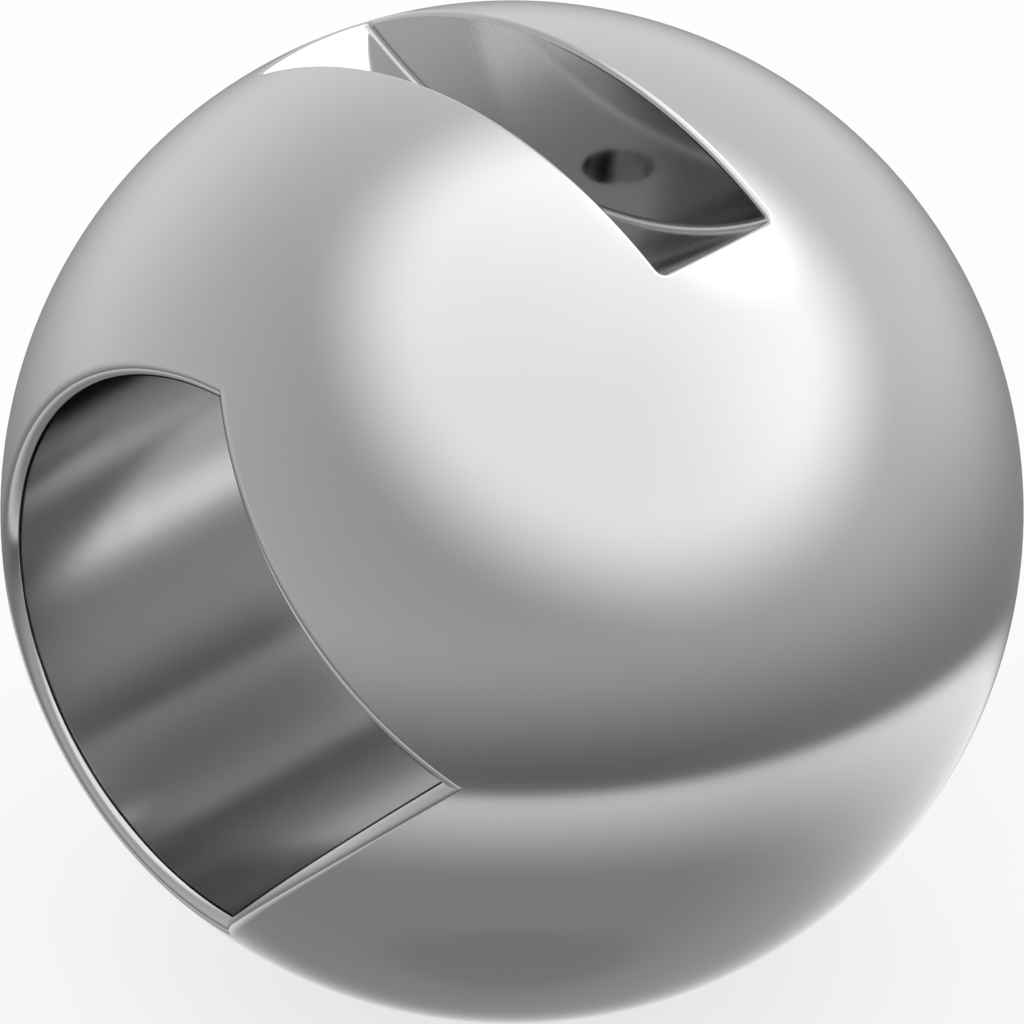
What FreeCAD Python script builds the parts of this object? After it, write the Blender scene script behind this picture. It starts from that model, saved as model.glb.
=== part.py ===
import FreeCAD, Part
import math
import os

# V-port valve ball: the closing ball of a two inch quarter-turn control valve, in polished steel.
# The origin is the centre of the ball. +Z is the stem axis, with the stem slot on top. +Y is the
# flow axis, from the V-port towards the round outlet. +X runs along the stem slot, and the point of
# the V looks that way.

# Driving dimensions, in millimetres and degrees.
ball_diameter = 83.0
bore_diameter = 48.6

v_angle = 90.0                  # between the two straight sides of the port
lip_edge_thickness = 5.5        # thickness of the two lips beside the V, where they meet the bore
port_edge_round = 1.0           # polished round where the port breaks out of the ball
outlet_edge_round = 1.0

slot_width = 12.1
slot_floor_radius = 41.0        # the slot is cut with a wheel, so its floor is an arc
slot_floor_wall = 3.0           # what is left between the slot's floor and the bore
slot_floor_fillet = 0.5
slot_rim_round = 0.5

relief_hole_diameter = 5.8      # lets the slot drain into the bore, so that no pressure is trapped

# Sizes that follow from them.
ball_radius = ball_diameter / 2
bore_radius = bore_diameter / 2
bore_end = math.sqrt(ball_radius ** 2 - bore_radius ** 2)    # where the bore's circle meets the ball
lip_back = bore_end - lip_edge_thickness                     # flat back of the lips, from the centre
v_half_angle = math.radians(v_angle / 2)
slot_floor_height = bore_radius + slot_floor_wall            # lowest point of the slot's floor
outside = ball_diameter                                      # far enough out to clear the ball

centre = FreeCAD.Vector(0, 0, 0)
slot_axis = FreeCAD.Vector(1, 0, 0)
flow_axis = FreeCAD.Vector(0, 1, 0)
stem_axis = FreeCAD.Vector(0, 0, 1)

def edge_round(radius, wall_distance, across, along):
    """The round between a wall and the ball's surface: its foot on the wall, its top, its end.

    The wall lies at wall_distance from the centre in the direction across, and runs along. The
    round is the path of a small ball that touches both surfaces from inside the metal.
    """
    reach = math.sqrt((ball_radius - radius) ** 2 - (wall_distance + radius) ** 2)
    middle = across * (wall_distance + radius) + along * reach
    on_wall = middle - across * radius
    on_ball = middle * (ball_radius / middle.Length)
    bulge = on_wall + on_ball - middle * 2
    return on_wall, middle + bulge.normalize() * radius, on_ball

def turned(outline, axis):
    """The solid that a closed outline sweeps round an axis through the centre.

    The outline is a list of steps: two points make a straight edge, and three make an arc.
    """
    edges = []
    for step in outline:
        curve = Part.LineSegment(*step) if len(step) == 2 else Part.Arc(*step)
        edges.append(curve.toShape())
    return Part.Face(Part.Wire(edges)).revolve(centre, axis, 360)

def open_end(along, radius):
    """The bore from the back of the lips to one end of the ball, flared by the round of its edge."""
    # The outline lies on the side of a lip, so that its seam stays clear of the port.
    across = (slot_axis - stem_axis).normalize()
    edge = edge_round(radius, bore_radius, across, along)
    foot = flow_axis * -lip_back
    foot_rim = foot + across * bore_radius
    end = along * outside
    end_rim = end + across * (edge[2] * across)
    outline = [
        (foot, foot_rim), (foot_rim, edge[0]), edge, (edge[2], end_rim), (end_rim, end), (end, foot),
    ]
    return turned(outline, along)

def lip(side):
    """The web that closes the bore beside one side of the V: +1 is the side next to the slot."""
    across = slot_axis * math.sin(v_half_angle) + stem_axis * (side * math.cos(v_half_angle))
    # The point of the V lies on the wall of the bore.
    wall_distance = bore_radius * math.sin(v_half_angle)
    # What the V opens is turned from the outlet's side, so that its seam stays clear of the port.
    edge = edge_round(port_edge_round, wall_distance, across, flow_axis)
    wall = across * wall_distance
    far_side = across * -outside
    rim = edge[2] + flow_axis * outside
    far_rim = far_side + flow_axis * (rim * flow_axis)
    outline = [
        (wall, edge[0]), edge, (edge[2], rim), (rim, far_rim), (far_rim, far_side), (far_side, wall),
    ]
    slab = Part.makeCylinder(ball_radius, ball_radius, flow_axis * -lip_back, -flow_axis)
    return slab.cut(turned(outline, across))

def port():
    """The opening through the front of the ball: the bore, less the two lips that leave the V."""
    # The flare of the bore would blunt the point of the V, so the metal ahead of it goes too.
    corner = FreeCAD.Vector(bore_radius / 2, -lip_back - outside, -bore_radius)
    point_room = Part.makeBox(outside, outside, bore_diameter, corner)
    opening = open_end(-flow_axis, port_edge_round).fuse(point_room)
    return opening.cut(lip(1)).cut(lip(-1))

def stem_slot():
    """The slot that the stem's tang turns the ball by: a wheel's rim, with filleted corners."""
    wheel_height = slot_floor_height + slot_floor_radius
    wheel_face = stem_axis * wheel_height - flow_axis * (slot_width / 2)
    wheel = Part.makeCylinder(slot_floor_radius, slot_width, wheel_face, flow_axis)
    rim = [edge for edge in wheel.Edges if isinstance(edge.Curve, Part.Circle)]
    return wheel.makeFillet(slot_floor_fillet, rim)

def slot_rim(body):
    """The edges along which the slot breaks out of the ball's surface."""
    surface = next(face for face in body.Faces if isinstance(face.Surface, Part.Sphere))
    return [edge for edge in surface.Edges if edge.BoundBox.ZMin > slot_floor_height]

def v_port_ball():
    ball = Part.makeSphere(ball_radius, centre, flow_axis, -90, 90, 360)
    # The surface's seam goes to the plain back of the ball, away from the slot and the V.
    ball.rotate(centre, flow_axis, -90)
    body = ball.cut(open_end(flow_axis, outlet_edge_round)).cut(port()).cut(stem_slot())
    body = body.makeFillet(slot_rim_round, slot_rim(body))
    # The relief hole runs up the stem axis, from the bore into the slot.
    relief_hole = Part.makeCylinder(relief_hole_diameter / 2, ball_radius)
    return body.cut(relief_hole).Solids[0]

os.makedirs("parts", exist_ok=True)
v_port_ball().exportStep("parts/v_port_ball.step")
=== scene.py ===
import math

import bpy
import numpy as np
from mathutils import Matrix, Vector
from mathutils.geometry import delaunay_2d_cdt


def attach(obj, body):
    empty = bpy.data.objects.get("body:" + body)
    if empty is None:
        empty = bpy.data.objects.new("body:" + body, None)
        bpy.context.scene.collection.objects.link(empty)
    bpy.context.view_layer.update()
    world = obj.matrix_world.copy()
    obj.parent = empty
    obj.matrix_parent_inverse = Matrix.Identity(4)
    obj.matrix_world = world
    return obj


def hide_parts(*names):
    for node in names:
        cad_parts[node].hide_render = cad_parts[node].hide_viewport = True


# V-port valve ball in polished stainless steel, laid out in millimetres in the row frame: the
# centre of the ball is the origin, +Z is the stem axis, +Y runs along the flow from the V-port to
# the outlet, and +X is the way that the point of the V looks.

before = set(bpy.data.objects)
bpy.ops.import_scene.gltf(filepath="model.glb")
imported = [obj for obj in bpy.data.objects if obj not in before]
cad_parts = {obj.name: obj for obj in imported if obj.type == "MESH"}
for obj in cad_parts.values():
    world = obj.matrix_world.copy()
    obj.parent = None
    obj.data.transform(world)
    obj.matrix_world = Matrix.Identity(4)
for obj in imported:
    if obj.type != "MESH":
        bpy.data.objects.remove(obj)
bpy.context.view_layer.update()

MM = 0.001

# The ball's sizes, in millimetres.
BALL = 41.5                     # radius
BORE = 24.3                     # radius
LIP_EDGE = 5.5                  # thickness of the lips beside the V, where they meet the bore
EDGE = 1.0                      # round of the port's and the outlet's edge
SLOT_HALF = 6.05                # half the slot's width
WHEEL = 41.0                    # radius of the wheel that the slot is cut with
SLOT_FLOOR = 27.3               # height of the slot's floor above the centre
FILLET = 0.5                    # between the slot's floor and walls
RIM = 0.5                       # round of the slot's rim
RELIEF = 2.9                    # radius of the relief hole

# Sizes that follow from them.
LIP_BACK = math.sqrt(BALL ** 2 - BORE ** 2) - LIP_EDGE
V_WALL = BORE * math.sqrt(0.5)  # distance of the V's straight sides from the flow axis
WHEEL_TOP = SLOT_FLOOR + WHEEL  # height of the wheel's axis
FLAT = SLOT_HALF - FILLET       # half the width of the slot's floor between its fillets

QUARTER = math.pi / 2
WHOLE = 2 * math.pi
GIRTH = WHOLE * BORE

# Mesh spacing, in millimetres.
SKIN_STEP = 1.25                # on the ball's own surface
EDGE_STEP = 0.6                 # along the lines where surfaces meet
BORE_STEP = 3.0                 # along the straight wall of the bore
LIP_STEP = 2.0                  # on the lips
SLOT_STEP = 0.8                 # along the slot
FLOOR_STEP = 1.5                # across the slot's floor
WALL_STEP = 2.0                 # up the slot's walls
CLEAR = 0.12                    # inner points keep this far off the lines where surfaces meet
SKIN_CLEAR = 0.3                # and this far on the ball's own surface

# Rows of the mesh.
ROWS = 10                       # across a polished round
CORNER_ROWS = 8                 # round a corner of the slot's end
FILLET_ROWS = 6                 # across the fillet of the slot's floor
START_ROWS = 3                  # across the start of the bore's round, beside the V
RING = 64                       # points round the relief hole

# Limits of the meshing.
SLIVER = 1e-4                   # smallest triangle in a chart, in square millimetres
SAME = 1e-7                     # points of a chart that are nearer than this are one
DECIMALS = 4                    # of a millimetre, to which patches share their points

# The finishes, in the order of the ball's materials. The bored one is also painted darker, as
# painted shade inside the bore, the V and the relief hole.
POLISHED, BORED_PAINTED_SHADE, MILLED = range(3)

X, Y, Z = np.eye(3)


def fan(angles, first, second):
    """Unit vectors that turn from the first axis towards the second."""
    return np.cos(angles)[:, None] * first + np.sin(angles)[:, None] * second


def spaced(start, end, step):
    return np.linspace(start, end, max(2, math.ceil(abs(end - start) / step)) + 1)


def grid(across, along):
    return np.stack(np.meshgrid(across, along), axis=-1).reshape(-1, 2)


def length(vectors):
    return np.linalg.norm(vectors, axis=-1)


# Rounds. Each polished edge is the path of a small ball that touches a wall and the ball's surface
# from inside the metal, so the middle of the small ball keeps to a sphere too.

def reach(wall, radius):
    """How far along a wall the middle of its round lies, for a wall at that distance."""
    return math.sqrt((BALL - radius) ** 2 - (wall + radius) ** 2)


def turn(wall, radius):
    """The angle that the round turns through, from the wall to the ball's surface."""
    return math.acos(-(wall + radius) / (BALL - radius))


BORE_REACH = reach(BORE, EDGE)
BORE_END = BORE_REACH + EDGE * turn(BORE, EDGE)
V_REACH = reach(V_WALL, EDGE)
V_END = V_REACH + EDGE * turn(V_WALL, EDGE)


# Charts. Each surface is meshed in a flat chart, whose two coordinates are millimetres of surface.

def bore_surface(chart):
    """The bore with the rounds at both of its ends: the way round it, and the way along it."""
    out = fan(chart[:, 0] / BORE, X, Z)
    along = chart[:, 1]
    angles = np.clip(np.abs(along) - BORE_REACH, 0, None) / EDGE
    normals = fan(angles, -out, np.sign(along)[:, None] * Y)
    middles = (BORE + EDGE) * out + np.clip(along, -BORE_REACH, BORE_REACH)[:, None] * Y
    return middles + EDGE * normals, normals


def bore_chart(points):
    past = np.abs(points[:, 1]) - BORE_REACH
    angles = np.arctan2(past, BORE + EDGE - np.hypot(points[:, 0], points[:, 2]))
    along = np.where(past > 0, BORE_REACH + EDGE * angles, np.abs(points[:, 1]))
    around = np.arctan2(points[:, 2], points[:, 0]) % WHOLE
    return np.stack([around * BORE, along * np.sign(points[:, 1])], axis=1)


def v_axes(side):
    """The normal of one side of the V, into its lip, and the way along it to the V's point."""
    return math.sqrt(0.5) * (X + side * Z), math.sqrt(0.5) * (X - side * Z)


def v_surface(chart, side):
    """One side of the V with its round: the way round the foot of the flow axis, and from it."""
    normal, to_point = v_axes(side)
    ray = fan(chart[:, 0] / V_REACH, -Y, to_point)
    angles = np.clip(chart[:, 1] - V_REACH, 0, None) / EDGE
    normals = fan(angles, -normal, ray)
    middles = (V_WALL + EDGE) * normal + np.clip(chart[:, 1], None, V_REACH)[:, None] * ray
    return middles + EDGE * normals, normals


def v_chart(points, side):
    normal, to_point = v_axes(side)
    away = np.hypot(points @ to_point, points[:, 1])
    angles = np.arctan2(away - V_REACH, V_WALL + EDGE - points @ normal)
    away = np.where(away > V_REACH, V_REACH + EDGE * angles, away)
    return np.stack([np.arctan2(points @ to_point, -points[:, 1]) * V_REACH, away], axis=1)


def slot_surface(chart):
    """The slot: the way round its wheel, and the way across it, up both of its walls."""
    down = fan(chart[:, 0] / WHEEL, -Z, X)
    side = np.sign(chart[:, 1])[:, None] * Y
    across = np.abs(chart[:, 1]) - FLAT
    angles = np.clip(across / FILLET, 0, QUARTER)
    normals = -fan(angles, down, side)
    risen = np.clip(across - FILLET * QUARTER, 0, None)
    middles = (WHEEL - FILLET - risen)[:, None] * down + WHEEL_TOP * Z
    return middles + np.clip(chart[:, 1], -FLAT, FLAT)[:, None] * Y - FILLET * normals, normals


def slot_chart(points):
    from_axis = np.hypot(points[:, 0], WHEEL_TOP - points[:, 2])
    aside = np.abs(points[:, 1]) - FLAT
    corner = FLAT + FILLET * np.arctan2(aside, from_axis - (WHEEL - FILLET))
    wall = FLAT + FILLET * QUARTER + WHEEL - FILLET - from_axis
    off_floor = np.where(from_axis > WHEEL - FILLET, corner, wall)
    across = np.where(aside <= 0, np.abs(points[:, 1]), off_floor)
    around = np.arctan2(points[:, 0], WHEEL_TOP - points[:, 2])
    return np.stack([around * WHEEL, across * np.sign(points[:, 1])], axis=1)


def lip_surface(chart):
    """The flat back of the lips."""
    points = chart[:, :1] * X + chart[:, 1:] * Z - LIP_BACK * Y
    return points, np.broadcast_to(Y, points.shape)


def lip_chart(points):
    return points[:, [0, 2]]


def skin_surface(chart):
    """The ball's own surface, projected from the middle of the outlet, so it keeps its angles."""
    shrink = (2 * BALL ** 2 / (np.sum(chart ** 2, axis=1) + BALL ** 2))[:, None]
    normals = (shrink * (chart[:, :1] * X + chart[:, 1:] * Z - BALL * Y) + BALL * Y) / BALL
    return BALL * normals, normals


def skin_chart(points):
    return points[:, [0, 2]] * (BALL / (BALL - points[:, 1]))[:, None]


# Lines where two surfaces meet. Both surfaces are meshed from the same points, so the mesh closes.

def port_corner(side):
    """From the back of a lip to the ball's surface, where the bore meets one side of the V."""
    straight = spaced(-LIP_BACK, -BORE_REACH, EDGE_STEP)[:-1, None] * Y + side * BORE * Z
    # Here the side of the V turns into its own round.
    full = BALL - EDGE
    power = (V_WALL ** 2 + V_REACH ** 2 - full ** 2 - EDGE ** 2) / (2 * EDGE * full)
    change = math.asin((BORE + EDGE) / full) + math.asin(power)
    before = np.linspace(0, change, START_ROWS + 1)[:-1]
    angles = np.append(before, np.linspace(change, turn(BORE, EDGE), 2 * ROWS))
    away = BORE + EDGE - EDGE * np.cos(angles)
    ahead = BORE_REACH + EDGE * np.sin(angles)
    # The points lie on two spheres about the centre and on the V's round, or on its flat side.
    squared = away ** 2 + ahead ** 2
    share = (squared - EDGE ** 2 + full ** 2) / (2 * full)
    rest = np.sqrt(np.clip(squared - share ** 2, 0, None))
    on_round = (share * (V_WALL + EDGE) - rest * V_REACH) / full
    height = np.where(angles < change, V_WALL, on_round)
    around = side * (math.pi / 4 + np.arccos(height / away))
    bent = away[:, None] * fan(around, X, Z) - ahead[:, None] * Y
    return np.vstack([straight, bent])


def v_point():
    """From the back of the lips to the ball's surface, where both sides of the V meet."""
    flat_end = math.sqrt(V_WALL ** 2 + V_REACH ** 2 - BORE ** 2)
    straight = spaced(-LIP_BACK, -flat_end, EDGE_STEP)[:-1, None] * Y + BORE * X
    angles = np.linspace(0, turn(V_WALL, EDGE), 2 * ROWS)
    around = np.arcsin((V_WALL + EDGE - EDGE * np.cos(angles)) / (V_REACH + EDGE * np.sin(angles)))
    bent = v_surface(np.stack([around * V_REACH, V_REACH + angles * EDGE], axis=1), 1)[0]
    return np.vstack([straight, bent * (X + Y)])


def slot_round():
    """The round of the slot's rim, once round it: the small ball's middles, and ways to walls."""
    corner = np.linspace(0, QUARTER, CORNER_ROWS + 1)
    aside = FLAT + (FILLET + RIM) * np.cos(corner)
    asides = np.concatenate([aside, spaced(FLAT, -FLAT, EDGE_STEP)[1:-1], -aside[::-1]])
    from_axis = WHEEL - FILLET + (FILLET + RIM) * np.sin(corner)
    ends = np.full(len(asides) - 2 * len(corner), WHEEL + RIM)
    from_axis = np.concatenate([from_axis, ends, from_axis[::-1]])
    squared = (BALL - RIM) ** 2 - asides ** 2
    heights = (squared - from_axis ** 2 + WHEEL_TOP ** 2) / (2 * WHEEL_TOP)
    end = np.stack([np.sqrt(squared - heights ** 2), asides, heights], axis=1)
    # One end of the slot, from its wall on +Y to the other, then that wall back to the other end.
    angle = math.atan2(end[0, 0], end[0, 2])
    wall = fan(spaced(angle, -angle, SKIN_STEP / BALL)[1:-1], Z, X)
    wall = wall * math.hypot(end[0, 0], end[0, 2])
    near = wall - (SLOT_HALF + RIM) * Y
    far = wall[::-1] + (SLOT_HALF + RIM) * Y
    middles = np.vstack([end, near, (end * (Y + Z - X))[::-1], far])
    nearest = middles.copy()
    nearest[:, 1] = np.clip(middles[:, 1], -FLAT, FLAT)
    from_wheel = middles * (X + Z) - WHEEL_TOP * Z
    keep = np.minimum(1, (WHEEL - FILLET) / length(from_wheel))[:, None]
    nearest = nearest * Y + keep * from_wheel + WHEEL_TOP * Z
    to_wall = nearest - middles
    return middles, to_wall / length(to_wall)[:, None]


# The ways out from the relief hole's axis, once round it.
relief_out = fan(np.linspace(0, WHOLE, RING + 1)[:-1], X, Y)


def relief_ring(height_at):
    """The relief hole's edge on a surface, once round it."""
    ring = RELIEF * relief_out
    return ring + height_at(ring[:, 0])[:, None] * Z


# Meshing.

def inside_and_gap(points, starts, ends):
    """For points in a chart: whether closed loops enclose them, and how far off those they are."""
    inside = np.zeros(len(points), bool)
    gap = np.full(len(points), np.inf)
    for start, end in zip(starts, ends):
        line = end - start
        offset = points - start
        share = np.clip(offset @ line / (line @ line), 0, 1)[:, None]
        gap = np.minimum(gap, length(offset - share * line))
        if start[1] != end[1]:
            crosses = (points[:, 1] >= start[1]) != (points[:, 1] >= end[1])
            inside ^= crosses & (offset[:, 0] < offset[:, 1] * line[0] / line[1])
    return inside, gap


def meshed(loops, lattice, surface, finish, clear=CLEAR):
    """A patch of a surface inside closed loops, given as (chart, points).

    The patch is its points, its normals, its triangles and the finish of each triangle, which is
    one finish or what a function tells of the chart.
    """
    chart = np.vstack([loop[0] for loop in loops])
    points = np.vstack([loop[1] for loop in loops])
    links = []
    for loop in loops:
        first = len(links)
        count = len(loop[0])
        links += [(first + i, first + (i + 1) % count) for i in range(count)]
    starts = chart[[link[0] for link in links]]
    ends = chart[[link[1] for link in links]]
    enclosed, away = inside_and_gap(lattice, starts, ends)
    lattice = lattice[enclosed & (away > clear)]
    chart = np.vstack([chart, lattice])
    points = np.vstack([points, surface(lattice)[0]])
    made = delaunay_2d_cdt([Vector(spot) for spot in chart], links, [], 0, SAME)
    origin = np.array([ids[0] for ids in made[3]])
    faces = origin[np.array(made[2])]
    corners = chart[faces]
    first, second = corners[:, 1] - corners[:, 0], corners[:, 2] - corners[:, 0]
    solid = np.abs(first[:, 0] * second[:, 1] - first[:, 1] * second[:, 0]) > SLIVER
    middles = corners.mean(axis=1)
    kept = solid & inside_and_gap(middles, starts, ends)[0]
    finishes = finish(middles) if callable(finish) else np.full(len(middles), finish)
    return points, surface(chart)[1], faces[kept], finishes[kept]


def ribbon(rows, finish):
    """A patch that is a closed band, from rows of (points, normals)."""
    count = len(rows[0][0])
    faces = []
    for row in range(len(rows) - 1):
        for i in range(count):
            j = (i + 1) % count
            low, high = row * count, (row + 1) * count
            faces += [(low + i, low + j, high + j), (low + i, high + j, high + i)]
    points, normals = (np.vstack([row[i] for row in rows]) for i in (0, 1))
    return points, normals, np.array(faces), np.full(len(faces), finish)


def joined(name, patches):
    """One closed mesh of all the patches, shaded with the surfaces' own normals."""
    index, points, faces, shading, finishes = {}, [], [], [], []
    for patch_points, patch_normals, patch_faces, patch_finishes in patches:
        ids = []
        for point in patch_points:
            # Adding 0 makes one key of the two zeros.
            key = tuple(np.round(point, DECIMALS) + 0.0)
            if key not in index:
                index[key] = len(points)
                points.append(point * MM)
            ids.append(index[key])
        for face, finish in zip(patch_faces, patch_finishes):
            corners = patch_points[face]
            turned = np.cross(corners[1] - corners[0], corners[2] - corners[0])
            if turned @ patch_normals[face].sum(axis=0) < 0:
                face = face[::-1]
            if len({ids[i] for i in face}) == 3:
                faces.append([ids[i] for i in face])
                finishes.append(int(finish))
                shading += [patch_normals[i] for i in face]
    mesh = bpy.data.meshes.new(name)
    mesh.from_pydata(points, [], faces)
    mesh.shade_smooth()
    mesh.normals_split_custom_set(shading)
    mesh.polygons.foreach_set("material_index", finishes)
    thing = bpy.data.objects.new(name, mesh)
    bpy.context.collection.objects.link(thing)
    return thing


def chained(*parts):
    """One loop of (chart, points) from parts whose last point is the next one's first."""
    return np.vstack([part[0][:-1] for part in parts]), np.vstack([part[1][:-1] for part in parts])


def on_bore(chart):
    return chart, bore_surface(chart)[0]


def line(start, end, step=EDGE_STEP):
    """Evenly spaced chart points from one to the other."""
    count = max(1, math.ceil(math.dist(start, end) / step))
    return np.linspace(start, end, count + 1)


def backwards(part):
    return part[0][::-1], part[1][::-1]


corner = {side: port_corner(side) for side in (1, -1)}
point_line = v_point()
bore_ring = relief_ring(lambda x: np.sqrt(BORE ** 2 - x ** 2))
floor_ring = relief_ring(lambda x: WHEEL_TOP - np.sqrt(WHEEL ** 2 - x ** 2))

# The bore. Its chart is cut open along +X, where the two edges of the cut are the same line.
seam = line((0, -LIP_BACK), (0, BORE_END))
outlet = on_bore(line((0, BORE_END), (GIRTH, BORE_END)))
lower = (bore_chart(corner[-1]), corner[-1])
upper = (bore_chart(corner[1]), corner[1])
arc = on_bore(line(lower[0][-1], upper[0][-1]))
lip_arc = {1: on_bore(line((GIRTH / 4, -LIP_BACK), (0, -LIP_BACK))),
           -1: on_bore(line((GIRTH, -LIP_BACK), (GIRTH * 3 / 4, -LIP_BACK)))}
bore_loop = chained(
    on_bore(seam), outlet, on_bore(seam[::-1] + (GIRTH, 0)), lip_arc[-1], lower, arc,
    backwards(upper), lip_arc[1])
round_rows = np.linspace(BORE_REACH, BORE_END, ROWS + 1)[1:-1]
wall_rows = spaced(-BORE_REACH, BORE_REACH, BORE_STEP)
bore_lattice = grid(outlet[0][:, 0], np.concatenate([-round_rows, wall_rows, round_rows]))
bore_loops = [bore_loop, (bore_chart(bore_ring), bore_ring)]
patches = [meshed(
    bore_loops, bore_lattice, bore_surface,
    lambda chart: np.where(np.abs(chart[:, 1]) < BORE_REACH, BORED_PAINTED_SHADE, POLISHED))]

# The V: two straight sides, and the backs of the two lips that they cut.
v_rim = {}
for side in (1, -1):
    surface = lambda chart, side=side: v_surface(chart, side)
    beside = (v_chart(corner[side], side), corner[side])
    ahead = (v_chart(point_line, side), point_line)
    rim_chart = line(beside[0][-1], ahead[0][-1])
    v_rim[side] = surface(rim_chart)[0]
    back = np.linspace(point_line[0], corner[side][0], 2 * math.ceil(BORE / EDGE_STEP))
    loop = chained(beside, (rim_chart, v_rim[side]), backwards(ahead), (v_chart(back, side), back))
    v_rows = np.linspace(V_REACH, V_END, ROWS + 1)[1:-1]
    rows = np.concatenate([spaced(LIP_BACK, V_REACH, LIP_STEP), v_rows])
    patches.append(meshed(
        [loop], grid(rim_chart[:, 0], rows), surface,
        lambda chart: np.where(chart[:, 1] < V_REACH, BORED_PAINTED_SHADE, POLISHED)))
    edge = lip_arc[side][1][::-1] if side == 1 else lip_arc[side][1]
    outline = np.vstack([edge[:-1], back[::-1][:-1]])
    lip_rows = spaced(0, BORE, LIP_STEP)
    patches.append(meshed(
        [(lip_chart(outline), outline)], grid(lip_rows, side * lip_rows), lip_surface, BORED_PAINTED_SHADE))

# The stem slot, its rim and the relief hole.
middles, to_wall = slot_round()
to_ball = middles / length(middles)[:, None]
opening = np.arccos(np.sum(to_wall * to_ball, axis=1))[:, None]
rim = []
for share in np.linspace(0, 1, ROWS):
    normals = np.sin((1 - share) * opening) * to_wall + np.sin(share * opening) * to_ball
    normals = normals / np.sin(opening)
    rim.append((middles + RIM * normals, normals))
patches.append(ribbon(rim, POLISHED))
slot_edge = rim[0][0]
top = np.abs(slot_chart(slot_edge)[:, 1]).max()
fillet_rows = FLAT + FILLET * np.linspace(0, QUARTER, FILLET_ROWS + 1)
slot_rows = np.concatenate([fillet_rows, spaced(fillet_rows[-1], top, WALL_STEP)[1:]])
slot_rows = np.concatenate([-slot_rows[::-1], spaced(-FLAT, FLAT, FLOOR_STEP)[1:-1], slot_rows])
half_turn = np.abs(slot_chart(slot_edge)[:, 0]).max()
patches.append(meshed(
    [(slot_chart(slot_edge), slot_edge), (slot_chart(floor_ring), floor_ring)],
    grid(spaced(-half_turn, half_turn, SLOT_STEP), slot_rows), slot_surface, MILLED))
patches.append(ribbon([(floor_ring, -relief_out), (bore_ring, -relief_out)], BORED_PAINTED_SHADE))

# The ball's own surface, between the outlet, the port and the slot, from points on a spiral.
POINT_ROOM = 0.866              # of the step squared, for each point of a grid of even triangles
count = int(4 * math.pi * BALL ** 2 / (SKIN_STEP ** 2 * POINT_ROOM))
heights = 1 - (2 * np.arange(count) + 1) / count
angles = np.arange(count) * math.pi * (3 - math.sqrt(5))
skin = BALL * (np.sqrt(1 - heights ** 2)[:, None] * fan(angles, X, Z) + heights[:, None] * Y)
port_rim = np.vstack([arc[1][:-1], v_rim[1][:-1], v_rim[-1][::-1][:-1]])
skin_loops = [(skin_chart(loop), loop) for loop in (outlet[1][:-1], port_rim, rim[-1][0])]
patches.append(meshed(skin_loops, skin_chart(skin), skin_surface, POLISHED, SKIN_CLEAR))

ball = joined("ball", patches)
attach(ball, "root")
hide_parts("v_port_ball")


# Nodes.

class Sum:
    """A value in a node tree, written as arithmetic."""

    def __init__(self, tree, value):
        self.tree = tree
        self.value = value

    def math(self, operation, *others):
        node = self.tree.nodes.new("ShaderNodeMath")
        node.operation = operation
        for socket, item in zip(node.inputs, (self, *others)):
            item = item.value if isinstance(item, Sum) else item
            if isinstance(item, bpy.types.NodeSocket):
                self.tree.links.new(item, socket)
            else:
                socket.default_value = item
        return Sum(self.tree, node.outputs[0])

    def __add__(self, other):
        return self.math("ADD", other)

    def __sub__(self, other):
        return self.math("SUBTRACT", other)

    def __mul__(self, other):
        return self.math("MULTIPLY", other)

    def smooth(self, low, high, start=0.0, end=1.0):
        """Goes smoothly from start to end as this value goes from low to high."""
        node = self.tree.nodes.new("ShaderNodeMapRange")
        node.interpolation_type = "SMOOTHSTEP"
        self.tree.links.new(self.value, node.inputs["Value"])
        ends = {"From Min": low, "From Max": high, "To Min": start, "To Max": end}
        for name, number in ends.items():
            node.inputs[name].default_value = number
        return Sum(self.tree, node.outputs["Result"])


# The studio, as polished metal mirrors it: walls that brighten upwards, a large soft light
# overhead, and a pale floor below a clear edge. All else sees plain white, whose strength is 1.
# Angles are in degrees.

world = bpy.data.worlds.new("studio")
bpy.context.scene.world = world
world.use_nodes = True
nodes, links = world.node_tree.nodes, world.node_tree.links
nodes.clear()
direction = nodes.new("ShaderNodeTexCoord").outputs["Generated"]
split = nodes.new("ShaderNodeSeparateXYZ")
links.new(direction, split.inputs[0])
height = Sum(world.node_tree, split.outputs["Z"]).math("ARCSINE") * math.degrees(1)


def aim(azimuth, elevation):
    """The way to an azimuth and an elevation. Azimuth 0 is ahead of the port, and 90 is +X."""
    azimuth, elevation = math.radians(azimuth), math.radians(elevation)
    level = math.cos(elevation)
    return Vector((math.sin(azimuth) * level, -math.cos(azimuth) * level, math.sin(elevation)))


def glow(azimuth, elevation, inner, outer, strength):
    """A round soft light, even inside one angle from its middle and gone at another."""
    product = nodes.new("ShaderNodeVectorMath")
    product.operation = "DOT_PRODUCT"
    links.new(direction, product.inputs[0])
    product.inputs[1].default_value = aim(azimuth, elevation)
    off = Sum(world.node_tree, product.outputs["Value"]).math("ARCCOSINE") * math.degrees(1)
    return off.smooth(inner, outer, strength, 0)


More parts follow.
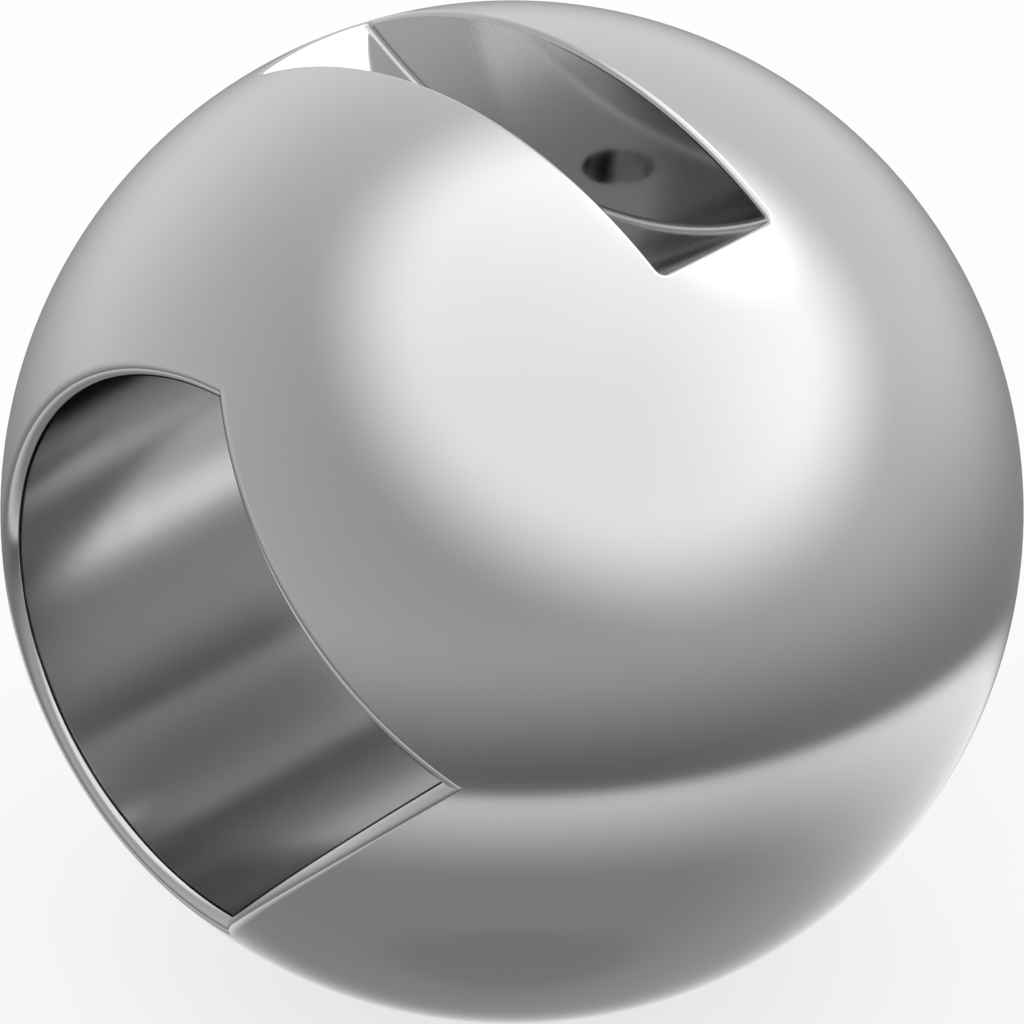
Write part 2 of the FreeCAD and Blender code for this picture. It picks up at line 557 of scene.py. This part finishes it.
walls = height.smooth(-36, 3, 0.25, 0.736) + height.smooth(63, 85, 0, -0.068)
walls = walls + glow(102, 63, 40, 67, 0.807)        # the large light overhead
walls = walls + glow(-153, 75, 0, 51, 0.211)        # its far edge
walls = walls + glow(134, 29, 0, 41, 0.175)         # its near edge
walls = walls + glow(170, 49, 6, 23, 0.686)         # the lamp behind the ball
walls = walls + glow(180, 54, 5, 17, 0.6)           # its bright middle
walls = walls + glow(-104, 7, 0, 47, 0.169)         # the pale wall at the left
walls = walls + glow(193, 22, 24, 55, 0.152)        # the pale wall behind
walls = walls + glow(54, 48, 8, 128, -0.318)        # the dark side, where the camera stands
ground = height.smooth(-60, -28, 0.315, 0.958)
ground = ground + glow(173, -15, 0, 71, 0.356)      # the floor's lit side
ground = ground - glow(0, -90, 10, 17, 0.042)       # its dark middle, under the ball
grey = ground + (walls - ground) * height.smooth(-36.6, -33)

light_path = nodes.new("ShaderNodeLightPath")
studio = nodes.new("ShaderNodeBackground")
links.new(grey.value, studio.inputs["Color"])
white = nodes.new("ShaderNodeBackground")
white.inputs["Color"].default_value = (1, 1, 1, 1)
mix = nodes.new("ShaderNodeMixShader")
links.new(light_path.outputs["Is Glossy Ray"], mix.inputs[0])
links.new(white.outputs[0], mix.inputs[1])
links.new(studio.outputs[0], mix.inputs[2])
links.new(mix.outputs[0], nodes.new("ShaderNodeOutputWorld").inputs[0])

# The steel, polished outside, and as the cutters left it in the bore and in the slot. The bore's
# steel is also painted darker, as painted shade inside the bore; the slot's is a little darker
# than the polished.
# Its marks are given per metre along each axis, and their depth in metres. In the bore they run
# round the flow axis.

for name, colour, roughness, spread, grain, depth in (
        ("polished_steel", 0.6, 0.12, 0.008, (120, 120, 120), 1e-7),
        # the bored steel's low colour is painted shade inside the bore; its roughness and marks
        # are the cutter's
        ("bored_steel_painted_shade", 0.47, 0.14, 0.015, (20, 400, 20), 4e-7),
        ("milled_steel", 0.54, 0.12, 0.015, (120, 30, 120), 2e-7)):
    steel = bpy.data.materials.new(name)
    steel.use_nodes = True
    tree = steel.node_tree
    shader = tree.nodes["Principled BSDF"]
    shader.inputs["Base Color"].default_value = (colour, colour, colour, 1)
    shader.inputs["Metallic"].default_value = 1.0
    place = tree.nodes.new("ShaderNodeMapping")
    place.inputs["Scale"].default_value = grain
    tree.links.new(tree.nodes.new("ShaderNodeTexCoord").outputs["Object"], place.inputs["Vector"])
    marks = tree.nodes.new("ShaderNodeTexNoise")
    marks.inputs["Scale"].default_value = 1.0
    marks.inputs["Detail"].default_value = 0.0
    tree.links.new(place.outputs["Vector"], marks.inputs["Vector"])
    dull = Sum(tree, marks.outputs["Fac"]).smooth(0, 1, roughness - spread, roughness + spread)
    tree.links.new(dull.value, shader.inputs["Roughness"])
    bump = tree.nodes.new("ShaderNodeBump")
    bump.inputs["Distance"].default_value = depth
    tree.links.new(marks.outputs["Fac"], bump.inputs["Height"])
    tree.links.new(bump.outputs["Normal"], shader.inputs["Normal"])
    ball.data.materials.append(steel)

# The floor. The camera sees it nearly white, with what is left of the ball's shadow.

FLOOR_SIZE = 20                 # metres
WHITENED = 0.7                  # share of plain white in what the camera sees

bpy.ops.mesh.primitive_plane_add(size=FLOOR_SIZE, location=(0, 0, -BALL * MM))
floor = bpy.context.object
floor.name = "floor"
floor.visible_glossy = False
pale = bpy.data.materials.new("pale_floor")
pale.use_nodes = True
tree = pale.node_tree
paint = tree.nodes["Principled BSDF"]
paint.inputs["Base Color"].default_value = (0.97, 0.97, 0.97, 1)
paint.inputs["Roughness"].default_value = 1.0
paint.inputs["Specular IOR Level"].default_value = 0.0
to_camera = tree.nodes.new("ShaderNodeLightPath").outputs["Is Camera Ray"]
blend = tree.nodes.new("ShaderNodeMixShader")
tree.links.new((Sum(tree, to_camera) * WHITENED).value, blend.inputs[0])
tree.links.new(paint.outputs[0], blend.inputs[1])
tree.links.new(tree.nodes.new("ShaderNodeEmission").outputs[0], blend.inputs[2])
tree.links.new(blend.outputs[0], tree.nodes["Material Output"].inputs["Surface"])
floor.data.materials.append(pale)

# The camera, at the photograph's angle, in degrees.

AZIMUTH = 44.73
ELEVATION = 31.6
ROLL = 0.05
DISTANCE = 22.6 * BALL * MM
FOCAL_LENGTH = 406.2            # millimetres, at which the ball fills the frame
away = aim(AZIMUTH, ELEVATION)
upright = away.to_track_quat("Z", "Y").to_matrix()
lens = bpy.data.cameras.new("camera")
lens.sensor_width = 36
lens.lens = FOCAL_LENGTH
camera = bpy.data.objects.new("camera", lens)
bpy.context.collection.objects.link(camera)
camera.location = away * DISTANCE
camera.rotation_euler = (upright @ Matrix.Rotation(math.radians(ROLL), 3, "Z")).to_euler()
bpy.context.scene.camera = camera
bpy.context.scene.view_settings.view_transform = "Standard"
